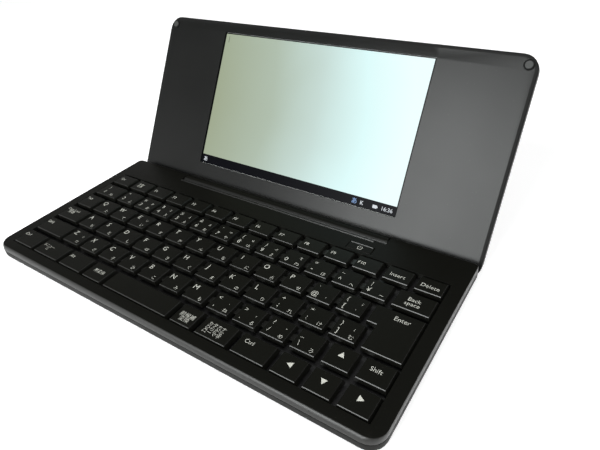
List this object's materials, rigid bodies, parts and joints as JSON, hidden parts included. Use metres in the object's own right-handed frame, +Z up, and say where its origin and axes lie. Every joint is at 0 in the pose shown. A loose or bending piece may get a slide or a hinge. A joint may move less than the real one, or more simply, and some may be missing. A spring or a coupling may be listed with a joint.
{
  "type": "portable word processor",
  "caption": "Pocket word processor with a full keyboard in a thin base and a wide display in a hinged clamshell lid, shown open",
  "frame": {"origin": "middle of the open part's footprint, on the surface that the feet stand on", "axes": "+X along the hinge, to the right of someone typing; +Y from the front edge to the hinge; +Z up"},
  "size_m": [0.263, 0.1868, 0.1009],
  "materials": {
    "shell": "fine matt texture",
    "lid_face": "satin",
    "keycap": "satin with pale printed characters",
    "rubber": "matt",
    "steel": "plain",
    "socket": "plated",
    "board": "solder mask",
    "film": "film",
    "screen": "lit display",
    "backlight": "folded case over light guide",
    "battery": "shrink film"
  },
  "bodies": {
    "base": {"lower_case": "shell", "deck_frame": "shell", "foot_front_left": "rubber", "foot_front_right": "rubber", "foot_rear_left": "rubber", "foot_rear_right": "rubber", "keyboard_plate": "steel", "hinge_bracket_left": "steel", "hinge_bracket_right": "steel", "hinge_pin_left": "steel", "hinge_pin_right": "steel", "case_screw_front_left": "steel", "case_screw_front_right": "steel", "case_screw_rear_left": "steel", "case_screw_rear_right": "steel", "card_socket": "socket", "charging_socket": "socket", "power_switch": "socket", "main_board": "board", "contact_membrane": "film", "battery_pack": "battery"},
    "lid": {"hinge_barrel": "shell", "lid_bezel": "lid_face", "lid_back_cover": "shell", "lcd_screen": "screen", "lcd_backlight": "backlight", "display_driver_board": "board", "display_cable": "film", "lid_magnet": "steel", "bumper_left": "rubber", "bumper_right": "rubber", "lid_screw_left": "steel", "lid_screw_right": "steel"},
    "power_button": {"power_button": "shell"},
    "key_control_left": {"key_control_left": "keycap"},
    "key_menu": {"key_menu": "keycap"},
    "key_alternate": {"key_alternate": "keycap"},
    "key_no_convert": {"key_no_convert": "keycap"},
    "key_space": {"key_space": "keycap"},
    "key_convert": {"key_convert": "keycap"},
    "key_kana": {"key_kana": "keycap"},
    "key_control_right": {"key_control_right": "keycap"},
    "key_arrow_left": {"key_arrow_left": "keycap"},
    "key_arrow_down": {"key_arrow_down": "keycap"},
    "key_arrow_right": {"key_arrow_right": "keycap"},
    "key_shift_left": {"key_shift_left": "keycap"},
    "key_arrow_up": {"key_arrow_up": "keycap"},
    "key_shift_right": {"key_shift_right": "keycap"},
    "key_caps_lock": {"key_caps_lock": "keycap"},
    "key_enter": {"key_enter": "keycap"},
    "key_tab": {"key_tab": "keycap"},
    "key_backspace": {"key_backspace": "keycap"},
    "key_escape": {"key_escape": "keycap"},
    "key_insert": {"key_insert": "keycap"},
    "key_delete": {"key_delete": "keycap"},
    "keys_lower_row": {"keys_lower_row": "keycap"},
    "keys_home_row": {"keys_home_row": "keycap"},
    "keys_upper_row": {"keys_upper_row": "keycap"},
    "keys_number_row": {"keys_number_row": "keycap"},
    "keys_function": {"keys_function": "keycap"}
  },
  "joints": [
    {"name": "lid_hinge", "type": "hinge", "parent": "base", "child": "lid", "pos_m": [0, 0.02297, 0.0055], "axis": [1, 0, 0], "range_deg": [0, 121.65]},
    {"name": "power_button_travel", "type": "slide", "parent": "base", "child": "power_button", "axis": [0, 0, -1], "range_m": [0, 0.0004], "stiffness_N_per_m": 800, "springref_m": -0.0004},
    {"name": "key_control_left_travel", "type": "slide", "parent": "base", "child": "key_control_left", "axis": [0, 0, -1], "range_m": [0, 0.0013], "stiffness_N_per_m": 400, "springref_m": -0.0008},
    {"name": "key_menu_travel", "type": "slide", "parent": "base", "child": "key_menu", "axis": [0, 0, -1], "range_m": [0, 0.0013], "stiffness_N_per_m": 400, "springref_m": -0.0008},
    {"name": "key_alternate_travel", "type": "slide", "parent": "base", "child": "key_alternate", "axis": [0, 0, -1], "range_m": [0, 0.0013], "stiffness_N_per_m": 400, "springref_m": -0.0008},
    {"name": "key_no_convert_travel", "type": "slide", "parent": "base", "child": "key_no_convert", "axis": [0, 0, -1], "range_m": [0, 0.0013], "stiffness_N_per_m": 400, "springref_m": -0.0008},
    {"name": "key_space_travel", "type": "slide", "parent": "base", "child": "key_space", "axis": [0, 0, -1], "range_m": [0, 0.0013], "stiffness_N_per_m": 400, "springref_m": -0.0008},
    {"name": "key_convert_travel", "type": "slide", "parent": "base", "child": "key_convert", "axis": [0, 0, -1], "range_m": [0, 0.0013], "stiffness_N_per_m": 400, "springref_m": -0.0008},
    {"name": "key_kana_travel", "type": "slide", "parent": "base", "child": "key_kana", "axis": [0, 0, -1], "range_m": [0, 0.0013], "stiffness_N_per_m": 400, "springref_m": -0.0008},
    {"name": "key_control_right_travel", "type": "slide", "parent": "base", "child": "key_control_right", "axis": [0, 0, -1], "range_m": [0, 0.0013], "stiffness_N_per_m": 400, "springref_m": -0.0008},
    {"name": "key_arrow_left_travel", "type": "slide", "parent": "base", "child": "key_arrow_left", "axis": [0, 0, -1], "range_m": [0, 0.0013], "stiffness_N_per_m": 400, "springref_m": -0.0008},
    {"name": "key_arrow_down_travel", "type": "slide", "parent": "base", "child": "key_arrow_down", "axis": [0, 0, -1], "range_m": [0, 0.0013], "stiffness_N_per_m": 400, "springref_m": -0.0008},
    {"name": "key_arrow_right_travel", "type": "slide", "parent": "base", "child": "key_arrow_right", "axis": [0, 0, -1], "range_m": [0, 0.0013], "stiffness_N_per_m": 400, "springref_m": -0.0008},
    {"name": "key_shift_left_travel", "type": "slide", "parent": "base", "child": "key_shift_left", "axis": [0, 0, -1], "range_m": [0, 0.0013], "stiffness_N_per_m": 400, "springref_m": -0.0008},
    {"name": "key_arrow_up_travel", "type": "slide", "parent": "base", "child": "key_arrow_up", "axis": [0, 0, -1], "range_m": [0, 0.0013], "stiffness_N_per_m": 400, "springref_m": -0.0008},
    {"name": "key_shift_right_travel", "type": "slide", "parent": "base", "child": "key_shift_right", "axis": [0, 0, -1], "range_m": [0, 0.0013], "stiffness_N_per_m": 400, "springref_m": -0.0008},
    {"name": "key_caps_lock_travel", "type": "slide", "parent": "base", "child": "key_caps_lock", "axis": [0, 0, -1], "range_m": [0, 0.0013], "stiffness_N_per_m": 400, "springref_m": -0.0008},
    {"name": "key_enter_travel", "type": "slide", "parent": "base", "child": "key_enter", "axis": [0, 0, -1], "range_m": [0, 0.0013], "stiffness_N_per_m": 400, "springref_m": -0.0008},
    {"name": "key_tab_travel", "type": "slide", "parent": "base", "child": "key_tab", "axis": [0, 0, -1], "range_m": [0, 0.0013], "stiffness_N_per_m": 400, "springref_m": -0.0008},
    {"name": "key_backspace_travel", "type": "slide", "parent": "base", "child": "key_backspace", "axis": [0, 0, -1], "range_m": [0, 0.0013], "stiffness_N_per_m": 400, "springref_m": -0.0008},
    {"name": "key_escape_travel", "type": "slide", "parent": "base", "child": "key_escape", "axis": [0, 0, -1], "range_m": [0, 0.0013], "stiffness_N_per_m": 400, "springref_m": -0.0008},
    {"name": "key_insert_travel", "type": "slide", "parent": "base", "child": "key_insert", "axis": [0, 0, -1], "range_m": [0, 0.0013], "stiffness_N_per_m": 400, "springref_m": -0.0008},
    {"name": "key_delete_travel", "type": "slide", "parent": "base", "child": "key_delete", "axis": [0, 0, -1], "range_m": [0, 0.0013], "stiffness_N_per_m": 400, "springref_m": -0.0008},
    {"name": "keys_lower_row_travel", "type": "slide", "parent": "base", "child": "keys_lower_row", "axis": [0, 0, -1], "range_m": [0, 0.0013], "stiffness_N_per_m": 400, "springref_m": -0.0008},
    {"name": "keys_home_row_travel", "type": "slide", "parent": "base", "child": "keys_home_row", "axis": [0, 0, -1], "range_m": [0, 0.0013], "stiffness_N_per_m": 400, "springref_m": -0.0008},
    {"name": "keys_upper_row_travel", "type": "slide", "parent": "base", "child": "keys_upper_row", "axis": [0, 0, -1], "range_m": [0, 0.0013], "stiffness_N_per_m": 400, "springref_m": -0.0008},
    {"name": "keys_number_row_travel", "type": "slide", "parent": "base", "child": "keys_number_row", "axis": [0, 0, -1], "range_m": [0, 0.0013], "stiffness_N_per_m": 400, "springref_m": -0.0008},
    {"name": "keys_function_travel", "type": "slide", "parent": "base", "child": "keys_function", "axis": [0, 0, -1], "range_m": [0, 0.0013], "stiffness_N_per_m": 400, "springref_m": -0.0008}
  ]
}
